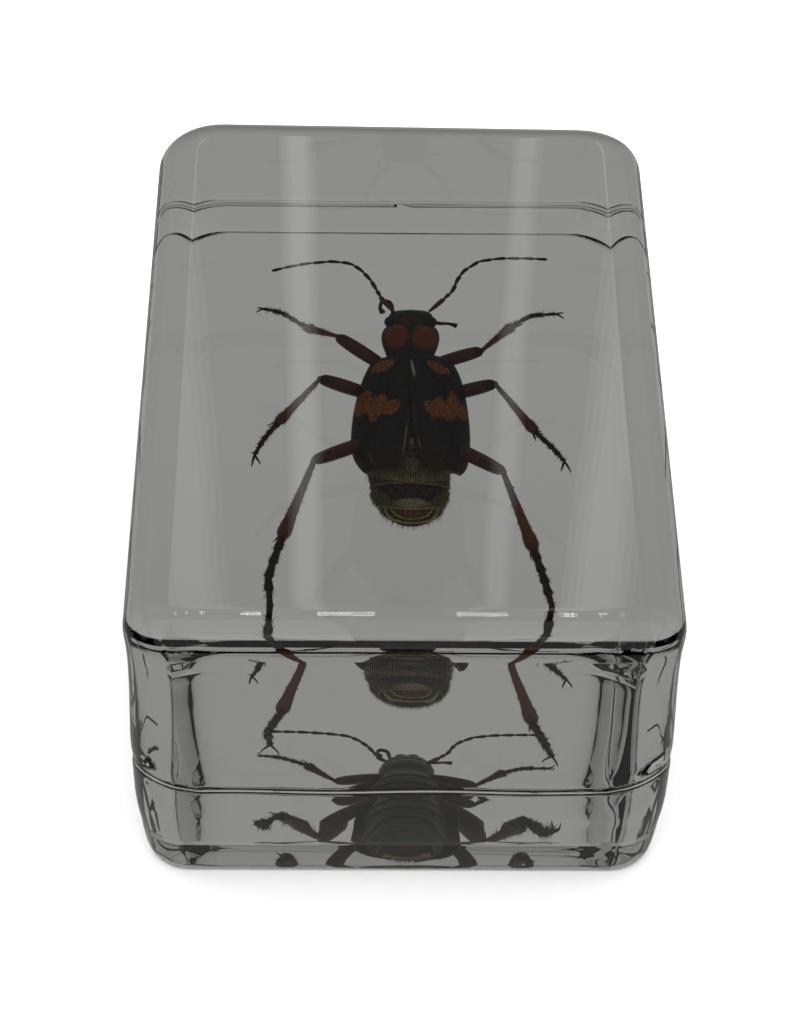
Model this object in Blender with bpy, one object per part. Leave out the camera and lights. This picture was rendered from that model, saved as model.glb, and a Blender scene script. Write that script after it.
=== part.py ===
"""A beetle sealed in a clear resin block: the block's two pours and the beetle in its pocket.

Metres, +Z up. The origin is the centre of the flat base; the block's long axis is Y and the
beetle's head points to +Y. Lengths below are written in millimetres and scaled by MM.
"""
import math

import bmesh
import bpy
from mathutils import Matrix, Vector

MM = 0.001

# ---- the block -------------------------------------------------------------------------------
BLOCK_WIDTH = 30.3            # across X at the shoulder, just under the rounded top edge
BLOCK_LENGTH = 43.8           # along Y at the shoulder
BLOCK_HEIGHT = 21.0
CORNER_RADIUS = 2.6           # upright corners, seen from above
CORNER_STEPS = 6
TOP_EDGE_RADIUS = 1.95
TOP_EDGE_STEPS = 6
# The cured walls wander a little: inset from the shoulder's line, and height
NECK = (0.22, 17.3)           # drawn in under the shoulder
CHEST = (0.0, 13.0)
BELLY = (-0.12, 9.6)          # fullest part of the second pour
POUR_LINE = (-0.06, 7.2)
SEAT = (-0.1, 5.2)            # fullest part of the first pour
FOOT_LINE = (0.06, 2.2)       # top of the rounded band round the foot
FOOT_INSET = 0.42             # what the base loses to that band on each side
FOOT_STEPS = 4
CLEARANCE = 0.3               # gap between touching pieces
SAME = 0.001                  # heights nearer than this are one level

# ---- the beetle ------------------------------------------------------------------------------
BODY_SIDES = 20
LIMB_SIDES = 6
FEELER_SIDES = 5
MIDLINE_X = 0.5               # the body's midline where it crosses Y = 0
MIDLINE_LEAN = 0.018          # X gained for each millimetre towards the head

# Sections along Y: (y, half width, rise above the centre, drop below it, centre height)
WING_CASES = [
    (6.0, 1.4, 0.35, 0.5, 8.5),
    (5.75, 2.05, 0.6, 0.5, 8.5),
    (5.2, 2.6, 0.9, 0.5, 8.45),
    (4.0, 3.05, 1.2, 0.45, 8.4),
    (2.3, 3.32, 1.4, 0.4, 8.3),
    (0.2, 3.5, 1.45, 0.3, 8.27),
    (-1.8, 3.46, 1.3, 0.2, 8.3),
    (-3.0, 3.12, 1.0, 0.2, 8.36),
    (-3.5, 2.7, 0.8, 0.2, 8.4),
    (-3.72, 2.35, 0.55, 0.2, 8.42),
]
ABDOMEN = [
    (6.1, 0.9, 0.4, 0.7, 7.95),
    (5.0, 1.7, 0.7, 1.4, 7.9),
    (3.0, 2.3, 0.8, 1.8, 7.75),
    (0.0, 2.6, 0.9, 1.9, 7.6),
    (-2.4, 2.62, 1.0, 1.9, 7.5),
    (-3.9, 2.38, 1.05, 1.7, 7.42),
    (-5.2, 2.18, 0.95, 1.3, 7.3),
    (-5.9, 1.82, 0.78, 1.0, 7.15),
    (-6.35, 1.4, 0.55, 0.7, 7.02),
    (-6.65, 1.0, 0.35, 0.48, 6.95),
    (-6.88, 0.4, 0.14, 0.22, 6.9),
]
COLLAR = [
    (4.6, 1.3, 0.9, 1.4, 8.2),
    (5.9, 1.45, 0.75, 1.3, 8.3),
    (6.5, 1.55, 0.8, 1.3, 8.4),
    (7.3, 1.75, 0.9, 1.35, 8.45),
    (8.0, 1.83, 0.9, 1.35, 8.5),
    (8.6, 1.7, 0.75, 1.2, 8.5),
    (8.95, 1.35, 0.55, 0.95, 8.5),
]
HEAD = [
    (8.3, 1.2, 0.6, 0.9, 8.5),
    (8.9, 1.45, 0.65, 0.9, 8.5),
    (9.4, 1.45, 0.6, 0.85, 8.5),
    (9.9, 1.3, 0.5, 0.7, 8.5),
    (10.2, 1.05, 0.35, 0.5, 8.45),
    (10.4, 0.6, 0.2, 0.3, 8.4),
]
EYE = (1.3, 9.15, 8.6)        # off the midline, along Y, height
EYE_RADIUS = 0.36

# Each leg: hip, knee, ankle, bend of the foot and toe, as (x, y, z). The left hind foot lies clear of
# the level where the pours meet, so that its pocket leaves no sliver there
LEGS = {
    "front_left": [(-0.4, 5.3, 7.5), (-3.85, 7.45, 9.4), (-5.75, 8.75, 8.3), (-7.4, 10.15, 8.3),
                   (-8.5, 10.42, 8.3)],
    "front_right": [(1.5, 5.7, 7.7), (5.0, 6.4, 9.2), (6.95, 8.7, 8.9), (8.1, 9.6, 9.0),
                    (9.7, 9.72, 9.05)],
    "middle_left": [(-1.2, 3.4, 7.0), (-4.85, 3.7, 9.6), (-7.38, 1.2, 7.2), (-8.2, -0.05, 7.12),
                    (-8.75, -1.1, 6.45)],
    "middle_right": [(2.2, 3.4, 7.0), (5.7, 3.35, 9.6), (8.09, 0.58, 7.2), (9.18, -0.79, 7.0),
                     (9.78, -1.5, 6.5)],
    "hind_left": [(-1.0, 0.4, 6.8), (-5.12, -3.9, 11.2), (-6.95, -7.6, 6.5), (-7.7, -10.6, 6.3),
                  (-7.5, -13.4, 6.45)],
    "hind_right": [(2.0, 0.3, 6.8), (5.9, -4.7, 11.2), (7.7, -8.2, 5.95), (8.2, -10.3, 5.85),
                   (8.72, -13.3, 6.0)],
}
LEG_GIRTH = {"front": 0.48, "middle": 0.5, "hind": 0.48}   # thickest half width of the thigh
# Along each stretch: share of the way, and half width as a share of the leg's girth
THIGH = [(0.0, 0.75), (0.45, 1.0), (0.9, 0.75), (1.0, 0.5)]
SHIN = [(0.0, 0.36), (0.4, 0.44), (0.92, 0.72), (1.0, 0.45)]
FOOT_GIRTHS = [0.34, 0.42, 0.4, 0.3]   # at the ankle, half way to the bend, at the bend, at the toe
CLAW_LENGTH = 0.6
CLAW_SPREAD = 32.0            # degrees each claw turns out from the toe
CLAW_DROP = 0.25              # how far its tip hangs, as a share of its length
CLAW_GIRTHS = [0.1, 0.05]
CLAW_OVERLAP = 0.17           # how far a claw reaches back into the toe
FOOT_OVERLAP = 0.03           # how far the foot reaches back into the shin, as a share of the shin

FEELERS = {
    "left": [(-0.3, 9.9, 8.7), (-1.1, 11.1, 8.75), (-1.8, 12.8, 8.7), (-3.1, 14.4, 8.6),
             (-5.0, 14.65, 8.4), (-8.1, 14.0, 8.0)],
    "right": [(1.7, 9.9, 8.7), (2.6, 10.9, 8.8), (3.5, 12.4, 8.8), (5.0, 14.55, 8.8),
              (7.0, 14.95, 8.7), (9.4, 14.85, 8.6)],
}
FEELER_GIRTH = 0.16
FEELER_STEPS = 3              # tube rings between two of the points above
PALPS = {
    "left": [(-0.3, 9.8, 8.3), (-0.8, 10.5, 8.15), (-1.15, 10.95, 8.1)],
    "right": [(1.6, 9.5, 8.3), (3.0, 9.4, 8.2), (3.6, 9.15, 8.15)],
}
PALP_GIRTH = 0.13


def clear_scene():
    """Start from an empty scene."""
    for thing in list(bpy.data.objects):
        bpy.data.objects.remove(thing, do_unlink=True)


def make_material(name, colour, roughness, transmission=0.0, refraction=1.5):
    """A Principled material of one colour."""
    material = bpy.data.materials.new(name)
    material.use_nodes = True
    shader = material.node_tree.nodes["Principled BSDF"]
    shader.inputs["Base Color"].default_value = (*colour, 1.0)
    shader.inputs["Roughness"].default_value = roughness
    shader.inputs["Metallic"].default_value = 0.0
    shader.inputs["Transmission Weight"].default_value = transmission
    shader.inputs["IOR"].default_value = refraction
    return material


def mesh_object(name, bm, material=None):
    """Turn a bmesh into an object of its own, faces outward."""
    bmesh.ops.recalc_face_normals(bm, faces=bm.faces)
    mesh = bpy.data.meshes.new(name)
    bm.to_mesh(mesh)
    bm.free()
    thing = bpy.data.objects.new(name, mesh)
    bpy.context.scene.collection.objects.link(thing)
    if material:
        mesh.materials.append(material)
    return thing


def as_guide(thing):
    """Mark an object that only cuts or fuses others."""
    thing.hide_render = True
    thing.display_type = "WIRE"
    return thing


def close_loft(bm, rings):
    """Skin a list of rings of vertices and close both ends."""
    for lower, upper in zip(rings, rings[1:]):
        count = len(lower)
        for i in range(count):
            j = (i + 1) % count
            bm.faces.new((lower[i], lower[j], upper[j], upper[i]))
    bm.faces.new(list(reversed(rings[0])))
    bm.faces.new(rings[-1])


# ---- block -----------------------------------------------------------------------------------
def plan_ring(bm, inset, height):
    """The block's outline seen from above, drawn in by inset, at one height."""
    radius = CORNER_RADIUS - min(inset, CORNER_RADIUS * 0.8)
    half_x = BLOCK_WIDTH / 2 - inset - radius
    half_y = BLOCK_LENGTH / 2 - inset - radius
    ring = []
    for corner in range(4):
        centre_x = half_x if corner in (0, 3) else -half_x
        centre_y = half_y if corner in (0, 1) else -half_y
        for step in range(CORNER_STEPS + 1):
            angle = math.radians(90 * (corner + step / CORNER_STEPS))
            x = centre_x + radius * math.cos(angle)
            y = centre_y + radius * math.sin(angle)
            ring.append(bm.verts.new((x * MM, y * MM, height * MM)))
    return ring


def wall_profile():
    """The block's side from the base to the top as (inset, height), bottom first."""
    foot_inset, foot_height = FOOT_LINE
    profile = []
    for step in range(FOOT_STEPS):
        drop = 1 - (step / FOOT_STEPS) ** 1.5
        profile.append((foot_inset + FOOT_INSET * drop ** 1.6, foot_height * (1 - drop)))
    profile += [FOOT_LINE, SEAT, POUR_LINE, BELLY, CHEST, NECK]
    shoulder = BLOCK_HEIGHT - TOP_EDGE_RADIUS
    for step in range(TOP_EDGE_STEPS + 1):
        angle = math.radians(90 * step / TOP_EDGE_STEPS)
        inset = TOP_EDGE_RADIUS * (1 - math.cos(angle))
        profile.append((inset, shoulder + TOP_EDGE_RADIUS * math.sin(angle)))
    return profile


def inset_at(height):
    """How far the wall is drawn in at one height."""
    profile = wall_profile()
    for (inset_a, low), (inset_b, high) in zip(profile, profile[1:]):
        if low <= height <= high:
            return inset_a + (inset_b - inset_a) * (height - low) / (high - low)
    return profile[-1][0]


def make_pour(name, low, high, pocket, material):
    """One pour of resin: the block's outline between two heights, less the beetle's pocket."""
    levels = [(inset_at(low), low)]
    levels += [level for level in wall_profile() if low + SAME < level[1] < high - SAME]
    levels.append((inset_at(high), high))
    bm = bmesh.new()
    close_loft(bm, [plan_ring(bm, inset, height) for inset, height in levels])
    pour = mesh_object(name, bm, material)
    pour.data.shade_smooth()
    pour.data.set_sharp_from_angle(angle=math.radians(30))
    cut = pour.modifiers.new("pocket", "BOOLEAN")
    cut.operation = "DIFFERENCE"
    cut.object = pocket
    return pour


# ---- beetle ----------------------------------------------------------------------------------
def midline(y):
    return MIDLINE_X + MIDLINE_LEAN * y


def body_piece(name, sections, grow):
    """A rounded body piece lofted through upright sections along Y, made larger by grow."""
    bm = bmesh.new()
    rings = []
    for index, (y, half, rise, drop, centre) in enumerate(sections):
        shift = 0.0
        if index == 0:
            shift = math.copysign(grow, sections[0][0] - sections[1][0])
        if index == len(sections) - 1:
            shift = math.copysign(grow, sections[-1][0] - sections[-2][0])
        ring = []
        for step in range(BODY_SIDES):
            angle = 2 * math.pi * step / BODY_SIDES
            side = (half + grow) * math.cos(angle)
            tall = rise if math.sin(angle) > 0 else drop
            up = (tall + grow) * math.sin(angle)
            ring.append(bm.verts.new(((midline(y) + side) * MM, (y + shift) * MM, (centre + up) * MM)))
        rings.append(ring)
    close_loft(bm, rings)
    return as_guide(mesh_object(name, bm))


def tube(name, points, girths, sides, grow):
    """A tapering limb through points, with a half width at each, made larger by grow."""
    path = [Vector(point) for point in points]
    path[0] -= (path[1] - path[0]).normalized() * grow
    path[-1] += (path[-1] - path[-2]).normalized() * grow
    bm = bmesh.new()
    rings = []
    for index, here in enumerate(path):
        before = path[max(index - 1, 0)]
        after = path[min(index + 1, len(path) - 1)]
        along = (after - before).normalized()
        across = along.cross(Vector((0, 0, 1))).normalized()
        over = across.cross(along)
        reach = girths[index] + grow
        ring = []
        for step in range(sides):
            angle = 2 * math.pi * step / sides
            spot = here + (across * math.cos(angle) + over * math.sin(angle)) * reach
            ring.append(bm.verts.new(spot * MM))
        rings.append(ring)
    close_loft(bm, rings)
    return as_guide(mesh_object(name, bm))


def smooth_path(points, steps):
    """Points on a smooth curve through the given ones."""
    spots = [Vector(point) for point in points]
    padded = [spots[0] * 2 - spots[1]] + spots + [spots[-1] * 2 - spots[-2]]
    path = []
    for a, b, c, d in zip(padded, padded[1:], padded[2:], padded[3:]):
        for step in range(steps):
            t = step / steps
            path.append(0.5 * ((2 * b) + (c - a) * t + (2 * a - 5 * b + 4 * c - d) * t * t
                               + (3 * b - a - 3 * c + d) * t ** 3))
    path.append(spots[-1])
    return path


def limb_stretch(name, start, end, shares, girth, grow):
    """One straight stretch of a leg, with the half widths that its table of shares gives."""
    points = [start.lerp(end, way) for way, share in shares]
    return tube(name, points, [girth * share for way, share in shares], LIMB_SIDES, grow)


def make_leg(name, joints, girth, grow):
    """Thigh, shin, foot and two claws of one leg."""
    hip, knee, ankle, bend, toe = [Vector(joint) for joint in joints]
    thigh = limb_stretch(name + "_thigh", hip, knee, THIGH, girth, grow)
    shin = limb_stretch(name + "_shin", knee, ankle, SHIN, girth, grow)
    foot = tube(name + "_foot", [ankle.lerp(knee, FOOT_OVERLAP), ankle.lerp(bend, 0.5), bend, toe],
                [girth * share for share in FOOT_GIRTHS], LIMB_SIDES, grow)
    pieces = [thigh, shin, foot]
    heading = (toe - bend).normalized()
    for sign in (-1, 1):
        turned = Matrix.Rotation(math.radians(sign * CLAW_SPREAD), 3, "Z") @ heading
        tip = toe + turned * CLAW_LENGTH
        tip.z -= CLAW_LENGTH * CLAW_DROP
        root = toe - heading * CLAW_OVERLAP
        pieces.append(tube(name + "_claw", [root, tip], CLAW_GIRTHS, LIMB_SIDES, grow))
    return pieces


def make_eye(name, side, grow):
    """One bulging eye."""
    bm = bmesh.new()
    off, y, z = EYE
    place = Vector((midline(y) + side * off, y, z)) * MM
    bmesh.ops.create_icosphere(bm, subdivisions=2, radius=(EYE_RADIUS + grow) * MM,
                               matrix=Matrix.Translation(place))
    return as_guide(mesh_object(name, bm))


def make_beetle(name, grow=0.0, material=None):
    """The whole beetle fused into one solid. With grow, the shape of its pocket."""
    body = body_piece(name, WING_CASES, grow)
    pieces = [
        body_piece(name + "_abdomen", ABDOMEN, grow),
        body_piece(name + "_collar", COLLAR, grow),
        body_piece(name + "_head", HEAD, grow),
        make_eye(name + "_eye_left", -1, grow),
        make_eye(name + "_eye_right", 1, grow),
    ]
    for leg, joints in LEGS.items():
        pieces += make_leg(name + "_" + leg, joints, LEG_GIRTH[leg.split("_")[0]], grow)
    for side, points in FEELERS.items():
        path = smooth_path(points, FEELER_STEPS)
        girths = [FEELER_GIRTH] * len(path)
        pieces.append(tube(name + "_feeler_" + side, path, girths, FEELER_SIDES, grow))
    for side, points in PALPS.items():
        pieces.append(tube(name + "_palp_" + side, points, [PALP_GIRTH] * 3, FEELER_SIDES, grow))
    parts = bpy.data.collections.new(name + "_pieces")
    bpy.context.scene.collection.children.link(parts)
    for piece in pieces:
        bpy.context.scene.collection.objects.unlink(piece)
        parts.objects.link(piece)
    fuse = body.modifiers.new("fuse", "BOOLEAN")
    fuse.operation = "UNION"
    fuse.operand_type = "COLLECTION"
    fuse.collection = parts
    if material:
        body.data.materials.append(material)
        body.hide_render = False
        body.display_type = "TEXTURED"
        body.data.shade_smooth()
    return body


def main():
    clear_scene()
    first_resin = make_material("first_pour_resin", (0.86, 0.86, 0.84), 0.03, 1.0, 1.55)
    second_resin = make_material("second_pour_resin", (0.88, 0.88, 0.86), 0.03, 1.0, 1.55)
    shell = make_material("beetle_shell", (0.045, 0.016, 0.01), 0.3)
    make_beetle("beetle", material=shell)
    pocket = make_beetle("pocket", grow=CLEARANCE)
    split = CLEARANCE / 2
    make_pour("resin_lower", 0.0, POUR_LINE[1] - split, pocket, first_resin)
    make_pour("resin_upper", POUR_LINE[1] + split, BLOCK_HEIGHT, pocket, second_resin)


main()
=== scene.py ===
import math
import random

import bmesh
import bpy
from mathutils import Matrix, Vector


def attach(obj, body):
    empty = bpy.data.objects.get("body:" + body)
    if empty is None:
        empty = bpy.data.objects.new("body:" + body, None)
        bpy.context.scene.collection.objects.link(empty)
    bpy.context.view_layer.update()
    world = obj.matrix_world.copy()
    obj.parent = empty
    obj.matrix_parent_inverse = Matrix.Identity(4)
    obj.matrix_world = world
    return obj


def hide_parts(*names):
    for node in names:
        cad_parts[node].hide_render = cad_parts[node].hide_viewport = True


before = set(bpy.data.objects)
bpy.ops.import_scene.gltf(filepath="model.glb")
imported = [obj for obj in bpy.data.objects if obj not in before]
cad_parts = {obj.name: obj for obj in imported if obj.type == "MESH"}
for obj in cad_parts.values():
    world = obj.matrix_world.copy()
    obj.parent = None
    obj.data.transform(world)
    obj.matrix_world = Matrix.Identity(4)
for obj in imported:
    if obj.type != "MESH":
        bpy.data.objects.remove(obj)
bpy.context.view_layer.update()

mm = 0.001
tiny = 0.001                   # mm; points closer than this count as one place
random.seed(7)

# the beetle lies a little askew in the block: its midline's X where Y is 0, and X gained per mm of Y
midlineX = 0.5
midlineLean = 0.018


def midline(y):
    return midlineX + midlineLean * y


# a place on the beetle, in mm: aside from its midline, along it, and up
def spot(aside, y, z):
    return Vector((midline(y) + aside, y, z)) * mm


def letGo():
    if bpy.context.mode != "OBJECT":
        bpy.ops.object.mode_set(mode="OBJECT")
    bpy.ops.object.select_all(action="DESELECT")


def takeUp(piece):
    letGo()
    piece.select_set(True)
    bpy.context.view_layer.objects.active = piece


# gives a new object's mesh the object's place, turn and size
def applyPlace():
    bpy.ops.object.transform_apply(location=True, rotation=True, scale=True)


def nameNew(name):
    piece = bpy.context.object
    piece.name = name
    piece.data.name = name
    return piece


# selects the vertices that a test on their place accepts, in edit mode
def pick(piece, test):
    bpy.ops.mesh.select_mode(type="VERT")
    bpy.ops.mesh.select_all(action="DESELECT")
    cage = bmesh.from_edit_mesh(piece.data)
    for corner in cage.verts:
        if test(corner.co / mm):
            corner.select = True
    cage.select_flush_mode()
    bmesh.update_edit_mesh(piece.data)


def addModifier(piece, kind, **settings):
    takeUp(piece)
    bpy.ops.object.modifier_add(type=kind)
    modifier = piece.modifiers[-1]
    for key, value in settings.items():
        setattr(modifier, key, value)
    bpy.ops.object.modifier_apply(modifier=modifier.name)


def finishMesh(piece, levels=0):
    takeUp(piece)
    bpy.ops.object.mode_set(mode="EDIT")
    bpy.ops.mesh.select_all(action="SELECT")
    bpy.ops.mesh.remove_doubles(threshold=tiny * mm)
    bpy.ops.mesh.normals_make_consistent(inside=False)
    bpy.ops.object.mode_set(mode="OBJECT")
    if levels:
        addModifier(piece, "SUBSURF", levels=levels, render_levels=levels)
    bpy.ops.object.shade_smooth()


def joinAll(name, pieces):
    takeUp(pieces[0])
    for piece in pieces:
        piece.select_set(True)
    bpy.ops.object.join()
    return nameNew(name)


# a round body drawn out along Y: each row is y, half width, rise, drop and height of its middle
def drawAlong(name, rows, sides):
    letGo()
    here = spot(0, rows[0][0], rows[0][4])
    bpy.ops.mesh.primitive_circle_add(vertices=sides, radius=mm, fill_type="NGON", location=here,
                                      rotation=(math.pi / 2, 0, 0))
    piece = nameNew(name)
    applyPlace()
    bpy.ops.object.mode_set(mode="EDIT")
    bpy.ops.mesh.select_all(action="SELECT")
    last = (1.0, 1.0, 1.0)
    for index, (y, half, rise, drop, height) in enumerate(rows):
        there = spot(0, y, height)
        if index:
            bpy.ops.mesh.extrude_region_move(TRANSFORM_OT_translate={"value": there - here})
        here = there
        bpy.ops.transform.resize(value=(half / last[0], 1, drop / last[2]), center_override=here)
        cage = bmesh.from_edit_mesh(piece.data)
        ring = [corner for corner in cage.verts if corner.select]
        for corner in ring:
            corner.select = corner.co.z > here.z + tiny * mm
        bpy.ops.transform.resize(value=(1, 1, rise / last[1] * last[2] / drop), center_override=here)
        for corner in ring:
            corner.select = True
        cage.select_flush_mode()
        bmesh.update_edit_mesh(piece.data)
        last = (half, rise, drop)
    return piece


# a tapering limb along a smooth curve, with a half width at each point
def drawLimb(name, points, girths, roundness=3, fineness=5):
    letGo()
    bpy.ops.curve.primitive_bezier_curve_add()
    limb = nameNew(name)
    bpy.ops.object.mode_set(mode="EDIT")
    bpy.ops.curve.select_all(action="SELECT")
    if len(points) > 2:
        bpy.ops.curve.subdivide(number_cuts=len(points) - 2)
    bpy.ops.curve.handle_type_set(type="AUTOMATIC")
    bpy.ops.object.mode_set(mode="OBJECT")
    line = limb.data.splines[0]
    for knot, place, girth in zip(line.bezier_points, points, girths):
        knot.co = Vector(place) * mm
        knot.radius = girth
    line.radius_interpolation = "CARDINAL"
    limb.data.dimensions = "3D"
    limb.data.resolution_u = fineness
    limb.data.bevel_depth = mm
    limb.data.bevel_resolution = roundness
    limb.data.use_fill_caps = True
    bpy.ops.object.convert(target="MESH")
    limb = nameNew(name)
    bpy.ops.object.shade_smooth()
    markAlong(limb, [Vector(place) * mm for place in points])
    return limb


# keeps on each vertex how far along the limb it is, from 0 to 1, for its colours to follow
def markAlong(limb, path):
    steps = [(b - a).length for a, b in zip(path, path[1:])]
    whole = sum(steps)
    values = []
    for corner in limb.data.vertices:
        best = (1e9, 0.0)
        done = 0.0
        for a, b, step in zip(path, path[1:], steps):
            part = max(0.0, min(1.0, (corner.co - a).dot(b - a) / step ** 2))
            gap = (a.lerp(b, part) - corner.co).length
            best = min(best, (gap, (done + part * step) / whole))
            done += step
        values.append(best[1])
    mark = limb.data.attributes.new("along", "FLOAT", "POINT")
    mark.data.foreach_set("value", values)


def addBall(name, centre, size, segments=20, rings=12):
    letGo()
    bpy.ops.mesh.primitive_uv_sphere_add(segments=segments, ring_count=rings, radius=mm,
                                         location=Vector(centre) * mm, scale=size)
    ball = nameNew(name)
    applyPlace()
    bpy.ops.object.shade_smooth()
    return ball


# random spots on the faces of a piece that a test accepts: place and normal
def scatter(piece, count, test):
    faces = [face for face in piece.data.polygons if test(face.center / mm, face.normal)]
    if not faces:
        return []
    chosen = random.choices(faces, weights=[face.area for face in faces], k=count)
    found = []
    for face in chosen:
        corners = [piece.data.vertices[index].co for index in face.vertices]
        shares = [random.random() for _ in corners]
        place = sum((corner * share for corner, share in zip(corners, shares)), Vector()) / sum(shares)
        found.append((place, face.normal.copy()))
    return found


# one slim curved hair of three sides is copied to every root: place, heading, length and width in mm
def plantHairs(name, roots, droop=0.12):
    corners = []
    faces = []
    rings = [(0.0, 1.0), (0.4, 0.75), (0.75, 0.45)]
    for place, heading, length, width in roots:
        along = heading.normalized()
        across = along.orthogonal().normalized()
        over = along.cross(across)
        sag = Vector((0, 0, -droop))
        start = len(corners)
        for reach, share in rings:
            middle = place + (along * reach + sag * reach ** 2) * length * mm
            for turn in range(3):
                angle = 2 * math.pi * turn / 3
                edge = (across * math.cos(angle) + over * math.sin(angle)) * share * width * mm
                corners.append(middle + edge)
        corners.append(place + (along + sag) * length * mm)
        tip = start + 9
        faces.append((start + 2, start + 1, start))
        for level in (0, 3):
            for turn in range(3):
                nextTurn = (turn + 1) % 3
                faces.append((start + level + turn, start + level + nextTurn,
                              start + level + 3 + nextTurn, start + level + 3 + turn))
        for turn in range(3):
            faces.append((start + 6 + turn, start + 6 + (turn + 1) % 3, tip))
    mesh = bpy.data.meshes.new(name)
    mesh.from_pydata(corners, [], faces)
    hairs = bpy.data.objects.new(name, mesh)
    bpy.context.scene.collection.objects.link(hairs)
    takeUp(hairs)
    bpy.ops.object.shade_smooth()
    return hairs


def plug(tree, value, socket):
    if isinstance(value, bpy.types.NodeSocket):
        tree.links.new(value, socket)
    else:
        socket.default_value = value


def addNode(tree, kind, inputs=None, **settings):
    made = tree.nodes.new(kind)
    for key, value in settings.items():
        setattr(made, key, value)
    for key, value in (inputs or {}).items():
        plug(tree, value, made.inputs[key])
    return made


def calc(tree, operation, a, b=0.0, c=0.0):
    return addNode(tree, "ShaderNodeMath", {0: a, 1: b, 2: c}, operation=operation).outputs[0]


def plus(tree, a, b):
    return calc(tree, "ADD", a, b)


def minus(tree, a, b):
    return calc(tree, "SUBTRACT", a, b)


def times(tree, value, *others):
    for other in others:
        value = calc(tree, "MULTIPLY", value, other)
    return value


def most(tree, value, *others):
    for other in others:
        value = calc(tree, "MAXIMUM", value, other)
    return value


# how far a value lies from another
def apart(tree, a, b=0.0):
    return calc(tree, "ABSOLUTE", minus(tree, a, b))


# a value with a share of another added to it
def addShare(tree, value, other, share):
    return calc(tree, "MULTIPLY_ADD", other, share, value)


def squares(tree, x, y):
    return plus(tree, times(tree, x, x), times(tree, y, y))


# 0 below the first value, 1 above the second, smooth between
def ramp(tree, value, start, end):
    made = addNode(tree, "ShaderNodeMapRange", {"Value": value, "From Min": start, "From Max": end},
                   interpolation_type="SMOOTHSTEP")
    return made.outputs["Result"]


def mixColour(tree, factor, first, second):
    made = addNode(tree, "ShaderNodeMix", data_type="RGBA")
    plug(tree, factor, made.inputs[0])
    plug(tree, first if isinstance(first, bpy.types.NodeSocket) else (*first, 1), made.inputs[6])
    plug(tree, second if isinstance(second, bpy.types.NodeSocket) else (*second, 1), made.inputs[7])
    return made.outputs[2]


# the resin wets the beetle, so its shell hardly shines
wetShine = 0.12


# sets the shader's sockets, or joins nodes to them
def feed(shader, **sockets):
    for key, value in sockets.items():
        plug(shader.id_data, value, shader.inputs[key.replace("_", " ")])


def newMaterial(name, roughness, **sockets):
    material = bpy.data.materials.new(name)
    material.use_nodes = True
    shader = material.node_tree.nodes["Principled BSDF"]
    feed(shader, Roughness=roughness, **sockets)
    return material, material.node_tree, shader


# coordinates on the beetle in mm: aside from the midline, along it and up
def beetleAxes(tree):
    place = addNode(tree, "ShaderNodeTexCoord").outputs["Object"]
    mapped = addNode(tree, "ShaderNodeMapping", {"Vector": place}, vector_type="POINT")
    mapped.inputs["Scale"].default_value = (1 / mm, 1 / mm, 1 / mm)
    mapped.inputs["Rotation"].default_value = (0, 0, midlineLean)
    mapped.inputs["Location"].default_value = (-midlineX, 0, 0)
    axes = addNode(tree, "ShaderNodeSeparateXYZ", {"Vector": mapped.outputs[0]})
    return mapped.outputs[0], axes.outputs["X"], axes.outputs["Y"], axes.outputs["Z"]


def beetleMaterial(name, roughness):
    material, tree, shader = newMaterial(name, roughness, Specular_IOR_Level=wetShine)
    return (material, tree, shader, *beetleAxes(tree))


def addNoise(tree, vector, scale, detail=3.0, rough=0.55):
    made = addNode(tree, "ShaderNodeTexNoise",
                   {"Vector": vector, "Scale": scale, "Detail": detail, "Roughness": rough})
    return made.outputs["Fac"]


def addPits(tree, vector, scale, randomness=1.0):
    made = addNode(tree, "ShaderNodeTexVoronoi", {"Vector": vector, "Scale": scale, "Randomness": randomness})
    return made.outputs["Distance"]


def addWave(tree, vector, scale, distortion, direction="X"):
    made = addNode(tree, "ShaderNodeTexWave", {"Vector": vector, "Scale": scale, "Distortion": distortion,
                                               "Detail": 2.0}, bands_direction=direction)
    return made.outputs["Fac"]


# depth is in mm
def addBump(tree, height, strength, depth):
    made = addNode(tree, "ShaderNodeBump", {"Height": height, "Strength": strength, "Distance": depth * mm})
    return made.outputs["Normal"]


# colours along a value, each with the place where it stands
def colourBar(tree, value, stops):
    bar = addNode(tree, "ShaderNodeValToRGB", {"Fac": value})
    marks = bar.color_ramp.elements
    for mark, (place, colour) in zip(marks, (stops[0], stops[-1])):
        mark.position = place
        mark.color = (*colour, 1)
    for place, colour in stops[1:-1]:
        marks.new(place).color = (*colour, 1)
    return bar.outputs[0]


# a dark horny shell: two close colours by a noise, fine grain and pits in its bump
def shellMaterial(name, dark, warm, roughness, pitScale=7.0, pitDepth=0.35):
    material, tree, shader, place = beetleMaterial(name, roughness)[:4]
    cloud = ramp(tree, addNoise(tree, place, 1.4), 0.42, 0.7)
    dent = ramp(tree, addPits(tree, place, pitScale), 0.0, 0.45)
    grain = addNoise(tree, place, 22.0)
    feed(shader, Base_Color=mixColour(tree, cloud, dark, warm),
         Normal=addBump(tree, addShare(tree, dent, grain, 0.25), pitDepth, 0.04),
         Roughness=addShare(tree, roughness - 0.06, grain, 0.14))
    return material


cameraPlan = {
    "lens": 96.25,
    "distance": 0.16674,       # from the middle of the block
    "elevation": 46.28,        # of the camera, seen from there
    "pitch": 47.01,            # how far it looks down
    "yaw": 1.358,
    "roll": 1.289,
    "aside": 0.000056,
    "aimHeight": 0.01048,
}


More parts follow.
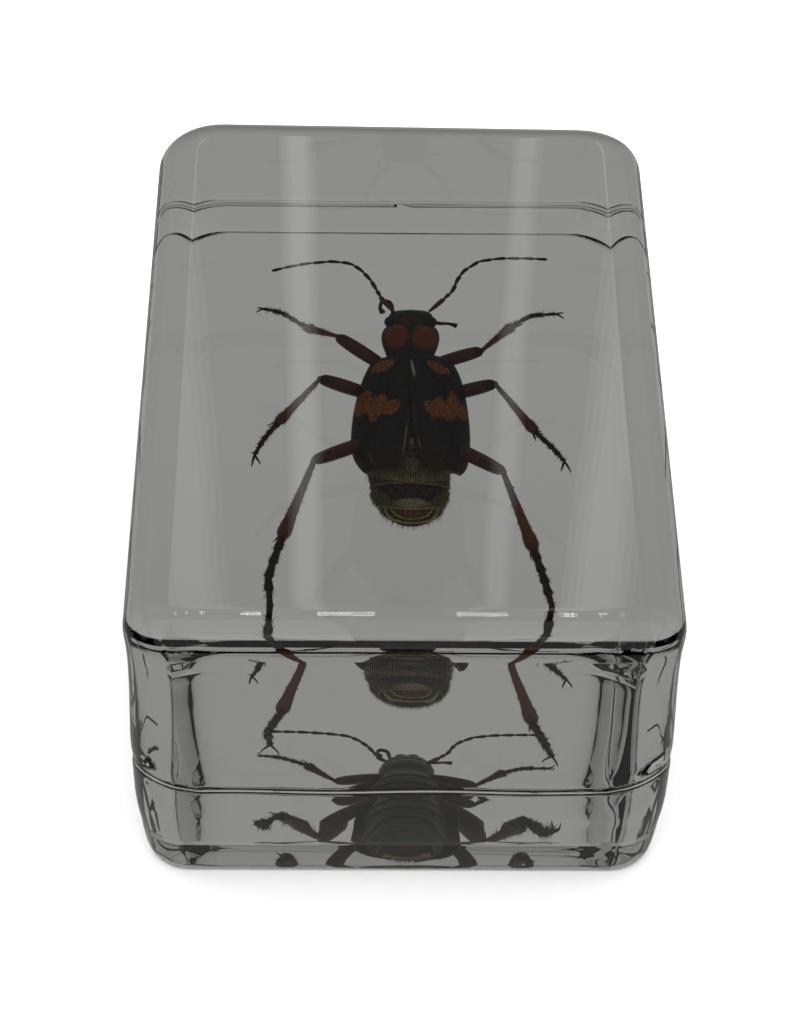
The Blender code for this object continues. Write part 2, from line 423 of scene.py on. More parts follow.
def addCamera():
    letGo()
    plan = cameraPlan
    elevation = math.radians(plan["elevation"])
    swing = Matrix.Rotation(-math.radians(plan["yaw"]), 4, "Z")
    back = Vector((plan["aside"], -plan["distance"] * math.cos(elevation),
                   plan["distance"] * math.sin(elevation) + plan["aimHeight"]))
    tilt = Matrix.Rotation(math.pi / 2 - math.radians(plan["pitch"]), 4, "X")
    lean = Matrix.Rotation(math.radians(plan["roll"]), 4, "Z")
    bpy.ops.object.camera_add()
    camera = nameNew("camera")
    camera.matrix_world = swing @ Matrix.Translation(back) @ tilt @ lean
    camera.data.lens = plan["lens"]
    camera.data.sensor_width = 36
    camera.data.clip_start = 0.005
    bpy.context.scene.camera = camera


addCamera()
print("camera set")


blockPlan = {
    "width": 30.3,
    "length": 44.1,
    "frontCorner": 2.6,
    "backCorner": 3.9,
    "cornerSteps": 12,
    "wallCuts": 23,
    "rimHeight": 19.28,        # where the wall ends and the rounded top edge starts
    "edgeRadius": 1.5,         # the tight part of that edge
    "edgeTurn": 65,            # degrees that it turns
    "edgeSteps": 14,
    "crownRadius": 3.8,        # the slack part, from there to the flat top
    "crownSteps": 10,
    "crownEnd": 0.03,          # a last narrow ring round the flat top
    "backSink": 0.35,          # how far the back rim is worn down, and how much more so on the right
    "rightSink": 0.3,
    "sinkStart": 6,            # the Y where that begins, and how long it takes to be full
    "sinkRun": 14,
    "sinkReach": 2.8,          # how far in from the edge, and how far down from the rim, it is felt
    "sinkDepth": 2,
    "pourHeight": 7.3,         # the first pour's level in the middle
    "pourSlope": -0.04,        # its gain for each mm of Y
    "pourRise": 0.8,           # how much higher it creeps at the front corners
    "pourReach": 1.6,          # how far above and below it the wall follows
    "pourCorner": 3.4,         # how far from the corners it begins to creep, and how steeply
    "pourCreep": 1.6,
    "pourWave": 0.12,
    "pourSag": 0.7,            # how much lower it lies at the back
    "refraction": 1.55,
    "absorption": 8.0,
    "tint": (0.1, 0.12, 0.0),
    "rollScale": (60, 60, 260),    # the cast walls roll a little; the rolls run level
    "rollStrength": 0.25,
}

# the wall from the base up: height, then how far a side, the front and the back stand in from the rim
wallPoints = [
    (0.0, 0.46, 0.48, 0.12), (0.08, 0.38, 0.42, 0.08), (0.25, 0.31, 0.37, 0.06), (0.6, 0.25, 0.33, 0.05),
    (1.1, 0.19, 0.3, 0.045), (1.7, 0.13, 0.26, 0.04), (2.3, 0.09, 0.225, 0.035), (2.62, 0.075, 0.2, 0.03),
    (2.74, 0.078, 0.2, 0.03), (2.86, 0.05, 0.16, 0.028), (3.2, 0.02, 0.11, 0.025), (3.8, -0.03, 0.03, 0.02),
    (4.5, -0.07, -0.05, 0.015), (5.3, -0.1, -0.13, 0.01), (6.1, -0.1, -0.19, 0.01),
    (6.7, -0.09, -0.23, 0.012), (7.0, -0.085, -0.245, 0.016), (7.14, -0.07, -0.245, 0.022),
    (7.22, -0.05, -0.22, 0.032), (7.27, -0.035, -0.17, 0.038), (7.32, -0.035, -0.11, 0.036),
    (7.4, -0.05, -0.06, 0.027), (7.6, -0.07, -0.045, 0.02), (8.2, -0.1, -0.035, 0.015),
    (9.6, -0.12, -0.01, 0.015), (10.8, -0.09, 0.01, 0.015), (12.0, -0.04, 0.03, 0.015),
    (13.2, 0.01, 0.04, 0.015), (14.5, 0.06, 0.05, 0.015), (15.8, 0.09, 0.06, 0.015),
    (17.0, 0.1, 0.06, 0.015), (18.0, 0.07, 0.04, 0.01), (18.7, 0.025, 0.015, 0.0),
]


def makeBlockMaterial():
    plan = blockPlan
    material, tree, shader = newMaterial("clearResin", 0.0, Transmission_Weight=1.0, IOR=plan["refraction"],
                                         Base_Color=(1, 1, 1, 1))
    place = addNode(tree, "ShaderNodeTexCoord").outputs["Object"]
    swell = addNode(tree, "ShaderNodeMapping", {"Vector": place, "Scale": plan["rollScale"]}).outputs[0]
    feed(shader, Normal=addBump(tree, addNoise(tree, swell, 1.0, 1.0, 0.4), plan["rollStrength"], 0.1))
    dim = addNode(tree, "ShaderNodeVolumeAbsorption",
                  {"Color": (*plan["tint"], 1), "Density": plan["absorption"]})
    tree.links.new(dim.outputs[0], tree.nodes["Material Output"].inputs["Volume"])
    return material


def makeBlock():
    plan = blockPlan
    width, length = plan["width"], plan["length"]
    letGo()
    bpy.ops.mesh.primitive_plane_add(size=1)
    block = nameNew("resin_block")
    height, side, front, back = wallPoints[0]
    lastWide, lastLong, lastMiddle = width - 2 * side, length - front - back, (front - back) / 2
    lastHeight = height
    block.scale = (lastWide * mm, lastLong * mm, 1)
    block.location = (0, lastMiddle * mm, 0)
    applyPlace()
    bpy.ops.object.mode_set(mode="EDIT")
    for corner, end in (("frontCorner", -1), ("backCorner", 1)):
        pick(block, lambda p: p.y * end > length / 2 - 1)
        bpy.ops.mesh.bevel(offset=plan[corner] * mm, segments=plan["cornerSteps"], affect="VERTICES")
    # the four straight sides get more corners, so that the pour line can wave
    bpy.ops.mesh.select_mode(type="EDGE")
    bpy.ops.mesh.select_all(action="DESELECT")
    cage = bmesh.from_edit_mesh(block.data)
    for edge in cage.edges:
        edge.select = edge.calc_length() > 5 * mm
    bmesh.update_edit_mesh(block.data)
    bpy.ops.mesh.subdivide(number_cuts=plan["wallCuts"])
    bpy.ops.mesh.select_mode(type="FACE")
    bpy.ops.mesh.select_all(action="SELECT")
    for height, side, front, back in wallPoints[1:] + [(plan["rimHeight"], 0.0, 0.0, 0.0)]:
        wide, long, middle = width - 2 * side, length - front - back, (front - back) / 2
        move = (0, (middle - lastMiddle) * mm, (height - lastHeight) * mm)
        bpy.ops.mesh.extrude_region_move(TRANSFORM_OT_translate={"value": move})
        bpy.ops.transform.resize(value=(wide / lastWide, long / lastLong, 1),
                                 center_override=(0, middle * mm, height * mm))
        lastHeight, lastWide, lastLong, lastMiddle = height, wide, long, middle
    # the rounded edge turns in tightly, then runs out slowly into the flat top
    tight, crown = plan["edgeRadius"], plan["crownRadius"]
    rim = plan["rimHeight"]
    for step in range(plan["edgeSteps"]):
        low, high = [math.radians(plan["edgeTurn"] * turn / plan["edgeSteps"]) for turn in (step, step + 1)]
        bpy.ops.mesh.inset(thickness=tight * (math.cos(low) - math.cos(high)) * mm,
                           depth=tight * (math.sin(high) - math.sin(low)) * mm)
    steep = 90 - plan["edgeTurn"]
    for step in range(plan["crownSteps"]):
        low, high = [math.radians(steep * (1 - turn / plan["crownSteps"])) for turn in (step, step + 1)]
        bpy.ops.mesh.inset(thickness=crown * (math.sin(low) - math.sin(high)) * mm,
                           depth=crown * (math.cos(high) - math.cos(low)) * mm)
    bpy.ops.mesh.inset(thickness=plan["crownEnd"] * mm, depth=0)
    finishMesh(block)
    # the pour line leans along the block, creeps up at the front corners and waves a little
    creep, reach, depth = plan["pourCorner"], plan["sinkReach"], plan["sinkDepth"]
    for corner in block.data.vertices:
        x, y, z = corner.co / mm
        near = math.exp(-((z - plan["pourHeight"]) / plan["pourReach"]) ** 4)
        edgeX = max(0.0, abs(x) - width / 2 + creep) / creep
        edgeY = max(0.0, -y - length / 2 + creep) / creep
        rise = plan["pourRise"] * min(1.0, plan["pourCreep"] * edgeX * edgeY)
        wave = plan["pourWave"] * (math.sin(x * 0.55 + 0.6) * 0.6 + math.sin(y * 0.43) * 0.5)
        sag = plan["pourSag"] * max(0.0, y / length * 2) ** 2
        corner.co.z += near * (plan["pourSlope"] * y + rise + wave - sag) * mm
        # the back rim is a little lower
        back = max(0.0, min(1.0, (y - plan["sinkStart"]) / plan["sinkRun"]))
        outer = max(0.0, min(1.0, (abs(y) - length / 2 + reach) / reach))
        sink = plan["backSink"] + plan["rightSink"] * x / width * 2
        if z > rim - depth:
            corner.co.z -= back * outer ** 2 * sink * min(1.0, (z - rim + depth) / depth) * mm
    addModifier(block, "WEIGHTED_NORMAL", mode="FACE_AREA", weight=60, keep_sharp=True)
    block.data.materials.append(makeBlockMaterial())
    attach(block, "root")
    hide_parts("resin_lower", "resin_upper")


makeBlock()
print("block cast")


# what every piece of the beetle is given once its shape is done
def settle(piece, *materials):
    for material in materials:
        piece.data.materials.append(material)
    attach(piece, "root")
    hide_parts("beetle")
    return piece


# y, left half width, right half width, rise of the top over the edge, height of the edge
caseRows = [
    (6.05, 1.15, 1.15, 0.45, 8.75),
    (5.9, 1.9, 1.95, 0.68, 8.62),
    (5.62, 2.4, 2.5, 0.9, 8.52),
    (5.0, 2.66, 2.78, 1.08, 8.44),
    (3.95, 2.97, 3.1, 1.28, 8.38),
    (2.3, 3.3, 3.35, 1.42, 8.32),
    (0.9, 3.45, 3.48, 1.46, 8.3),
    (-0.6, 3.51, 3.55, 1.42, 8.3),
    (-1.8, 3.45, 3.51, 1.3, 8.32),
    (-2.6, 3.22, 3.42, 1.14, 8.36),
    (-3.1, 2.95, 3.32, 0.98, 8.4),
    (-3.45, 2.7, 3.15, 0.84, 8.42),
    (-3.68, 2.45, 2.9, 0.72, 8.45),
]
casePlan = {
    "steps": 17,               # corners between the seam and the edge
    "thickness": 0.13,
    "gapStart": 1.3,           # where along Y the cases part
    "gapLean": 5.2,            # degrees each case's seam turns out from there
}

# the ragged orange band across both cases: its front and its rear outline, aside and y
bandFront = [
    (-3.6, 2.1), (-3.25, 2.42), (-2.94, 2.72), (-2.52, 2.94), (-2.14, 2.37), (-1.91, 2.39), (-1.62, 2.48),
    (-1.25, 1.87), (-1.01, 1.92), (-0.69, 1.99), (-0.55, 1.2), (0.65, 1.2), (0.78, 1.76), (1.33, 1.78),
    (1.76, 2.32), (2.19, 1.99), (2.54, 2.95), (2.88, 2.41), (3.25, 1.9), (3.6, 1.6),
]
bandRear = [
    (-3.6, 1.5), (-3.31, 1.16), (-3.06, 0.77), (-2.7, 0.95), (-2.38, 0.35), (-2.13, 0.11), (-1.72, 0.71),
    (-1.29, 0.6), (-0.87, 0.77), (-0.6, 1.4), (-0.5, 2.2), (0.6, 2.2), (0.9, 1.21), (1.21, 0.65),
    (1.52, 0.4), (1.95, 0.56), (2.25, 0.17), (2.56, 0.22), (2.87, 0.83), (3.18, 0.61), (3.6, 1.0),
]
# painted highlights: pale glints on the folds beside the seam and on the scutellum, as middle, half sizes,
# lean and brightness
paintedCaseGlints = [
    ((0.17, 4.6), (0.09, 0.75), 8.5, 0.28), ((-0.25, -1.35), (0.05, 1.1), -5, 0.16),
    ((0.62, -1.7), (0.04, 0.42), 6.7, 0.1), ((-2.2, -2.85), (0.03, 0.55), 22, 0.06),
]
caseColours = {
    "orange": [(0.13, 0.036, 0.004), (0.27, 0.078, 0.007)],
    "pit": (0.016, 0.008, 0.005),
    "black": [(0.004, 0.0035, 0.003), (0.011, 0.008, 0.006)],
    "russet": (0.07, 0.02, 0.008),
    "redGlow": (0.045, 0.012, 0.005),
    "paleRearEdge": (0.2, 0.17, 0.12),
}
caseSeam = 0.1                 # how far right of the midline the cases meet
seamSpread = math.tan(math.radians(casePlan["gapLean"]))
curveSpan = (3.6, -1.0, 4.0)   # half width, lowest and highest value of those outlines


# the height of an outline at each place aside, as a curve
def outlineCurve(tree, aside, outline):
    half, low, high = curveSpan
    made = addNode(tree, "ShaderNodeFloatCurve", {"Value": addShare(tree, 0.5, aside, 1 / (2 * half))})
    points = made.mapping.curves[0].points
    spots = [((x + half) / (2 * half), (y - low) / (high - low)) for x, y in outline]
    while len(points) < len(spots):
        points.new(0.5, 0.5)
    for point, place in zip(points, spots):
        point.location = place
        point.handle_type = "AUTO_CLAMPED"
    made.mapping.update()
    return addShare(tree, low, made.outputs[0], high - low)


# 1 inside an upright-standing ellipse of the given middle, half sizes and lean, soft at its edge
def patchMask(tree, aside, along, centre, size, lean, soft=0.25):
    shiftX, shiftY = minus(tree, aside, centre[0]), minus(tree, along, centre[1])
    cos, sin = math.cos(math.radians(lean)), math.sin(math.radians(lean))
    turnedX = addShare(tree, times(tree, shiftX, cos / size[0]), shiftY, sin / size[0])
    turnedY = addShare(tree, times(tree, shiftY, cos / size[1]), shiftX, -sin / size[1])
    return ramp(tree, squares(tree, turnedX, turnedY), 1 + soft, 1 - soft)


def makeCaseMaterial():
    hue = caseColours
    material, tree, shader, place, aside, along, up = beetleMaterial("wingCase", 0.26)
    fray = minus(tree, addNoise(tree, place, 3.2, 4.0, 0.6), 0.5)
    frayedX = addShare(tree, aside, fray, 0.35)
    frayedY = addShare(tree, along, fray, 0.7)
    front = outlineCurve(tree, frayedX, bandFront)
    rear = outlineCurve(tree, frayedX, bandRear)
    band = times(tree, ramp(tree, minus(tree, front, frayedY), -0.05, 0.12),
                 ramp(tree, minus(tree, frayedY, rear), -0.05, 0.12))
    left = patchMask(tree, frayedX, frayedY, (-1.7, 4.92), (0.8, 0.46), 36)
    right = patchMask(tree, frayedX, frayedY, (1.72, 4.82), (0.86, 0.4), -36)
    # pits stand in loose rows and are black in the orange
    pits = ramp(tree, addPits(tree, place, 6.5, 0.85), 0.18, 0.5)
    tone = addNoise(tree, place, 5.5)
    mottle = ramp(tree, tone, 0.3, 0.7)
    pitted = mixColour(tree, pits, hue["pit"], mixColour(tree, mottle, *hue["orange"]))
    black = mixColour(tree, ramp(tree, tone, 0.35, 0.75), *hue["black"])
    colour = mixColour(tree, most(tree, band, left, right), black, pitted)
    # the parting edges turn red-brown towards the rear, and so do the rim and the outer rear corners
    parting = times(tree, minus(tree, along, casePlan["gapStart"]), seamSpread)
    seam = times(tree, ramp(tree, plus(tree, apart(tree, aside, caseSeam), parting), 0.26, 0.08),
                 ramp(tree, along, 2.0, 0.6))
    corners = times(tree, ramp(tree, apart(tree, aside), 2.6, 3.2), ramp(tree, along, -1.9, -2.9))
    russet = times(tree, most(tree, ramp(tree, up, 8.62, 8.45), seam, corners), 0.8)
    colour = mixColour(tree, russet, colour, hue["russet"])
    glow = times(tree, ramp(tree, along, -1.2, -3.4), mottle, 0.6)
    colour = mixColour(tree, glow, colour, hue["redGlow"])
    # the rear edge turns a pale silvery grey, and painted highlights stand on the folds beside the seam
    rearEdge = ramp(tree, addShare(tree, along, fray, 0.3), -3.5, -3.62)
    colour = mixColour(tree, times(tree, rearEdge, 0.5), colour, hue["paleRearEdge"])
    # painted highlights, mixed into the shell's colour as pale patches
    for centre, size, lean, pale in paintedCaseGlints:
        glint = patchMask(tree, aside, along, centre, size, lean, 0.6)
        colour = mixColour(tree, glint, colour, (pale, pale * 0.96, pale * 0.8))
    grain = addNoise(tree, place, 26.0)
    feed(shader, Base_Color=colour, Normal=addBump(tree, addShare(tree, pits, grain, 0.2), 0.55, 0.06),
         Roughness=addShare(tree, 0.16, grain, 0.2))
    return material


def makeWingCase(side, material):
    plan = casePlan
    column = 1 if side < 0 else 2
    letGo()
    first = caseRows[0]
    bpy.ops.mesh.primitive_circle_add(vertices=4 * plan["steps"], radius=mm, fill_type="NOTHING",
                                      location=spot(0, first[0], first[4]), rotation=(math.pi / 2, 0, 0))
    case = nameNew("wing_case_left" if side < 0 else "wing_case_right")
    applyPlace()
    bpy.ops.object.mode_set(mode="EDIT")
    middle = midline(first[0])
    pick(case, lambda p: p.z < first[4] - tiny or (p.x - middle) * side < -tiny)
    bpy.ops.mesh.delete(type="VERT")
    bpy.ops.mesh.select_all(action="SELECT")
    here = spot(0, first[0], first[4])
    last = (1.0, 1.0)
    for index, row in enumerate(caseRows):
        y, half, rise, edge = row[0], row[column], row[3], row[4]
        there = spot(0, y, edge)
        if index:
            bpy.ops.mesh.extrude_edges_move(TRANSFORM_OT_translate={"value": there - here})
        here = there
        bpy.ops.transform.resize(value=(half / last[0], 1, rise / last[1]), center_override=here)
        last = (half, rise)
    # the rear edge is drawn forward between its corners
    rearY = caseRows[-1][0]
    pick(case, lambda p: p.y < rearY + 0.05 and 0.7 < (p.x - midline(p.y)) * side < 2.1)
    bpy.ops.transform.translate(value=(0, 0.18 * mm, 0))
    # the seam turns out towards the rear
    lean = math.radians(plan["gapLean"])
    bpy.ops.mesh.select_all(action="SELECT")
    bpy.ops.mesh.bisect(plane_co=spot(caseSeam + side * 0.02, plan["gapStart"], 9.0),
                        plane_no=(-side * math.cos(lean), -math.sin(lean), 0), clear_outer=True)
    finishMesh(case)
    addModifier(case, "SOLIDIFY", thickness=plan["thickness"] * mm, offset=-1 if side < 0 else 1)
    finishMesh(case, 3)
    settle(case, material)


caseMaterial = makeCaseMaterial()
for side in (-1, 1):
    makeWingCase(side, caseMaterial)
print("wing cases made")


# y, half width, rise, drop and height of the middle
abdomenShape = [
    (6.1, 0.9, 0.4, 0.7, 7.95), (5.0, 1.7, 0.7, 1.4, 7.9), (3.0, 2.3, 0.8, 1.8, 7.75),
    (0.0, 2.6, 0.9, 1.9, 7.6), (-2.4, 2.6, 1.0, 1.9, 7.5), (-3.9, 2.36, 1.05, 1.7, 7.42),
    (-4.6, 2.32, 1.02, 1.5, 7.36), (-5.2, 2.16, 0.95, 1.3, 7.3), (-5.9, 1.8, 0.78, 1.0, 7.15),
    (-6.35, 1.4, 0.55, 0.7, 7.02), (-6.65, 1.0, 0.35, 0.48, 6.95), (-6.88, 0.4, 0.14, 0.22, 6.9),
]
segmentEnds = [3.4, 1.7, 0.0, -1.7, -3.0, -4.2, -5.95]
tailAside = 0.2                # how far right of the midline the abdomen's end lies
abdomenColours = {
    "skin": [(0.006, 0.005, 0.004), (0.02, 0.012, 0.007)],
    "down": (0.42, 0.37, 0.2),
    "flank": (0.17, 0.13, 0.06),
    "lens": (0.38, 0.34, 0.19),
    "orange": (0.24, 0.09, 0.015),
    "tip": (0.022, 0.012, 0.006),
    "red": (0.12, 0.022, 0.008),
    "gold": (0.46, 0.34, 0.12),
}


def between(table, y):
    for upper, lower in zip(table, table[1:]):
        if lower[0] <= y <= upper[0]:
            share = (upper[0] - y) / (upper[0] - lower[0])
            return [a + (b - a) * share for a, b in zip(upper[1:], lower[1:])]
    return list(table[-1][1:])


def abdomenRows():
    rows = list(abdomenShape)
    for end in segmentEnds:
        rows = [row for row in rows if abs(row[0] - end) > 0.25]
        half, rise, drop, height = between(abdomenShape, end)
        rows.append((end + 0.16, half, rise, drop, height))
        rows.append((end + 0.03, half + 0.05, rise + 0.04, drop + 0.04, height))
        rows.append((end - 0.03, half - 0.07, rise - 0.05, drop - 0.06, height))
        rows.append((end - 0.2, half - 0.06, rise - 0.04, drop - 0.05, height))
    return sorted(rows, reverse=True)


def makeAbdomenMaterial():
    hue = abdomenColours
    material, tree, shader, place, aside, along, up = beetleMaterial("abdomenSkin", 0.36)
    y = addShare(tree, along, minus(tree, addNoise(tree, place, 4.0), 0.5), 0.12)
    # the segments' edges curve forward at the sides
    bow = minus(tree, aside, tailAside)
    bent = addShare(tree, y, times(tree, bow, bow), -0.11)
    colour = mixColour(tree, ramp(tree, addNoise(tree, place, 6.0), 0.3, 0.7), *hue["skin"])
    top = ramp(tree, up, 7.4, 7.7)
    # grey-gold down on the segment behind the wing cases, thin gold down at the sides of the next
    down = ramp(tree, addNoise(tree, place, 17.0, 4.0, 0.7), 0.42, 0.68)
    zone = times(tree, ramp(tree, bent, -4.22, -4.1), ramp(tree, bent, -1.6, -2.3), top)
    combed = most(tree, times(tree, down, 0.5), ramp(tree, addWave(tree, place, 2.4, 1.5), 0.3, 0.8))
    colour = mixColour(tree, times(tree, zone, combed), colour, hue["down"])
    flank = ramp(tree, minus(tree, apart(tree, bow), times(tree, plus(tree, bent, 5.4), 1.2)), 1.0, 1.9)
    colour = mixColour(tree, times(tree, flank, down), colour, hue["flank"])
    lens = patchMask(tree, aside, y, (tailAside, -5.62), (1.05, 0.3), 0, 0.5)
    colour = mixColour(tree, times(tree, lens, ramp(tree, down, 0.05, 0.4)), colour, hue["lens"])
    orange = times(tree, ramp(tree, apart(tree, y, -4.2), 0.09, 0.03), top)
    colour = mixColour(tree, orange, colour, hue["orange"])
    tip = ramp(tree, bent, -6.0, -6.1)
    colour = mixColour(tree, tip, colour, hue["tip"])
    red = patchMask(tree, aside, y, (0.25, -6.2), (0.62, 0.26), 0, 0.5)
    colour = mixColour(tree, times(tree, red, tip), colour, hue["red"])
    # golden lines: across the tip's start, and two arcs that follow its outline
    across = ramp(tree, apart(tree, bent, -6.0), 0.07, 0.02)
    reach = squares(tree, times(tree, bow, 1 / 1.7), plus(tree, y, 5.85))
    arcs = most(tree, ramp(tree, apart(tree, reach, 0.5), 0.06, 0.02),
                ramp(tree, apart(tree, reach, 0.84), 0.09, 0.03))
    arcs = times(tree, arcs, ramp(tree, up, 6.82, 6.98))
    edges = times(tree, most(tree, across, times(tree, tip, arcs)), 0.85)
    colour = mixColour(tree, edges, colour, hue["gold"])
    height = addShare(tree, addNoise(tree, place, 14.0), addWave(tree, place, 3.0, 1.5, "Y"), 0.3)
    feed(shader, Base_Color=colour, Normal=addBump(tree, height, 0.4, 0.05))
    return material


def makeAbdomen():
    abdomen = drawAlong("abdomen", abdomenRows(), 32)
    # its end is turned a little to the right
    for start in (-3.6, -4.6, -5.4):
        pick(abdomen, lambda p: p.y < start)
        bpy.ops.transform.translate(value=(0.07 * mm, 0, 0))
    finishMesh(abdomen, 2)
    return settle(abdomen, makeAbdomenMaterial())


abdomen = makeAbdomen()


wingPlan = {"size": (1.9, 4.6), "tilt": 4.5, "place": (0.12, -1.35, 9.02), "thickness": 0.05}
# painted highlights on them: pale glints on the folds, as middle, half sizes and brightness
paintedWingGlints = [
    ((0.14, -1.2), (0.15, 0.26), 0.26), ((0.12, -2.5), (0.2, 0.05), 0.16), ((0.12, -1.62), (0.2, 0.12), 0.12),
]


def makeWingMaterial():
    material, tree, shader, place, aside, along = beetleMaterial("wingMembrane", 0.3)[:6]
    tone = addNoise(tree, place, 5.0)
    colour = mixColour(tree, ramp(tree, tone, 0.35, 0.7), (0.01, 0.008, 0.006), (0.06, 0.05, 0.035))
    fuzz = ramp(tree, addNoise(tree, place, 15.0, 4.0, 0.7), 0.35, 0.65)
    colour = mixColour(tree, times(tree, ramp(tree, along, -2.5, -2.75), fuzz), colour, (0.2, 0.17, 0.1))
    colour = mixColour(tree, ramp(tree, apart(tree, along, -2.08), 0.2, 0.06), colour, (0.13, 0.045, 0.012))
    wavy = addShare(tree, along, tone, 0.1)
    # painted highlights, mixed into the membrane's colour as pale patches
    for centre, size, pale in paintedWingGlints:
        glint = patchMask(tree, aside, wavy, centre, size, 0, 0.95)
        colour = mixColour(tree, glint, colour, (pale, pale * 0.95, pale * 0.82))
    feed(shader, Base_Color=colour, Normal=addBump(tree, addWave(tree, place, 1.6, 3.0), 0.5, 0.04))
    return material


def makeFoldedWings():
    plan = wingPlan
    letGo()
    bpy.ops.mesh.primitive_grid_add(x_subdivisions=10, y_subdivisions=24, size=1)
    wings = nameNew("folded_wings")
    wings.scale = (plan["size"][0] * mm, plan["size"][1] * mm, 1)
    wings.rotation_euler = (math.radians(plan["tilt"]), 0, 0)
    wings.location = spot(*plan["place"])
    applyPlace()
    # crumpled lengthwise
    for corner in wings.data.vertices:
        x, y, _ = corner.co / mm
        aside = x - midline(y)
        corner.co.z += (0.05 * math.sin(aside * 9 + y * 0.8) + 0.04 * math.sin(y * 5 + aside * 3)) * mm
        corner.co.x += 0.05 * math.sin(y * 2.3) * mm
    addModifier(wings, "SOLIDIFY", thickness=plan["thickness"] * mm, offset=0)
    finishMesh(wings, 2)
    return settle(wings, makeWingMaterial())


foldedWings = makeFoldedWings()
print("abdomen and folded wings made")


collarRows = [
    (5.3, 1.25, 0.6, 1.4, 8.3), (5.75, 1.4, 0.68, 1.35, 8.32), (6.1, 1.42, 0.66, 1.3, 8.35),
    (6.45, 1.5, 0.74, 1.3, 8.4), (6.8, 1.62, 0.86, 1.32, 8.43), (7.3, 1.76, 0.94, 1.35, 8.46),
    (7.85, 1.83, 0.95, 1.35, 8.5), (8.4, 1.74, 0.84, 1.25, 8.5), (8.75, 1.55, 0.68, 1.05, 8.5),
    (8.95, 1.25, 0.5, 0.85, 8.5),
]
headRows = [
    (8.6, 1.25, 0.55, 0.9, 8.5), (8.95, 1.42, 0.66, 0.9, 8.5), (9.3, 1.46, 0.68, 0.88, 8.5),
    (9.65, 1.42, 0.62, 0.8, 8.5), (9.95, 1.3, 0.5, 0.68, 8.48), (10.15, 1.12, 0.36, 0.5, 8.45),
    (10.26, 0.8, 0.18, 0.3, 8.42),
]
eyePlan = {"aside": 1.28, "y": 9.15, "z": 8.62, "size": (0.36, 0.44, 0.42)}
# each jaw: aside, y and height, and its half width at each of these points
jawPath = [(0.62, 9.8, 8.15), (0.6, 10.12, 8.1), (0.36, 10.3, 8.06), (0.08, 10.34, 8.05)]
jawGirths = [0.2, 0.17, 0.11, 0.03]


def makeCollarMaterial():
    material, tree, shader, place, aside, along, up = beetleMaterial("collarShell", 0.24)
    fray = minus(tree, addNoise(tree, place, 3.0), 0.5)
    x = addShare(tree, aside, fray, 0.2)
    y = addShare(tree, along, fray, 0.25)
    lobes = most(tree, patchMask(tree, x, y, (-0.86, 7.64), (0.76, 1.02), 0, 0.3),
                 patchMask(tree, x, y, (0.86, 7.52), (0.8, 1.02), 0, 0.3))
    tone = addNoise(tree, place, 7.0)
    brown = mixColour(tree, ramp(tree, tone, 0.3, 0.7), (0.085, 0.014, 0.003), (0.17, 0.03, 0.005))
    black = mixColour(tree, tone, (0.003, 0.003, 0.003), (0.01, 0.007, 0.005))
    top = ramp(tree, up, 8.6, 8.85)
    height = addShare(tree, ramp(tree, addPits(tree, place, 6.5), 0.05, 0.4), tone, 0.3)
    feed(shader, Base_Color=mixColour(tree, times(tree, lobes, top), black, brown),
         Normal=addBump(tree, height, 0.45, 0.04))
    return material


def makeCollar():
    collar = drawAlong("collar", collarRows, 40)
    # a groove down the middle between two swellings, and a dent across the base
    pick(collar, lambda p: abs(p.x - midline(p.y)) < 0.16 and p.z > 9.0 and 6.7 < p.y < 8.6)
    bpy.ops.transform.translate(value=(0, 0, -0.16 * mm))
    for side in (-1, 1):
        pick(collar, lambda p: 0.6 < (p.x - midline(p.y)) * side < 1.2 and p.z > 8.9 and 7.2 < p.y < 8.2)
        bpy.ops.transform.translate(value=(0, 0, 0.07 * mm))
    finishMesh(collar, 2)
    settle(collar, makeCollarMaterial())


def makeHeadMaterial():
    material, tree, shader, place, aside, along = beetleMaterial("headShell", 0.2)[:6]
    black = mixColour(tree, addNoise(tree, place, 5.0), (0.005, 0.006, 0.005), (0.013, 0.015, 0.01))
    # a dull red stripe between the eyes
    fray = minus(tree, addNoise(tree, place, 5.0), 0.5)
    across = ramp(tree, apart(tree, aside, -0.03), 1.15, 0.85)
    level = addShare(tree, minus(tree, along, 9.08), fray, 0.2)
    stripe = times(tree, ramp(tree, apart(tree, level), 0.24, 0.1), across, 0.8)
    pits = ramp(tree, addPits(tree, place, 8.0), 0.05, 0.4)
    feed(shader, Base_Color=mixColour(tree, stripe, black, (0.06, 0.012, 0.008)),
         Normal=addBump(tree, pits, 0.3, 0.03))
    return material


def makeHead():
    head = drawAlong("head", headRows, 36)
    # a shallow dent between the feelers
    pick(head, lambda p: abs(p.x - midline(p.y)) < 0.35 and p.z > 8.7 and 9.5 < p.y < 10.1)
    bpy.ops.transform.translate(value=(0, 0, -0.06 * mm))
    finishMesh(head, 2)
    settle(head, makeHeadMaterial())
    eyeShell = shellMaterial("eyeFacets", (0.008, 0.007, 0.006), (0.02, 0.016, 0.012), 0.22, 16.0, 0.6)
    jawShell = shellMaterial("jawHorn", (0.012, 0.008, 0.006), (0.05, 0.02, 0.01), 0.25)
    for side, word in ((-1, "left"), (1, "right")):
        eye = addBall("eye_" + word, spot(side * eyePlan["aside"], eyePlan["y"], eyePlan["z"]) / mm,
                      eyePlan["size"], segments=28, rings=18)
        settle(eye, eyeShell)
        points = [spot(side * aside, y, z) / mm for aside, y, z in jawPath]
        settle(drawLimb("jaw_" + word, points, jawGirths), jawShell)
    lip = addBall("upper_lip", spot(0, 10.2, 8.42) / mm, (0.42, 0.16, 0.12))
    settle(lip, jawShell)


makeCollar()
makeHead()
print("collar and head made")


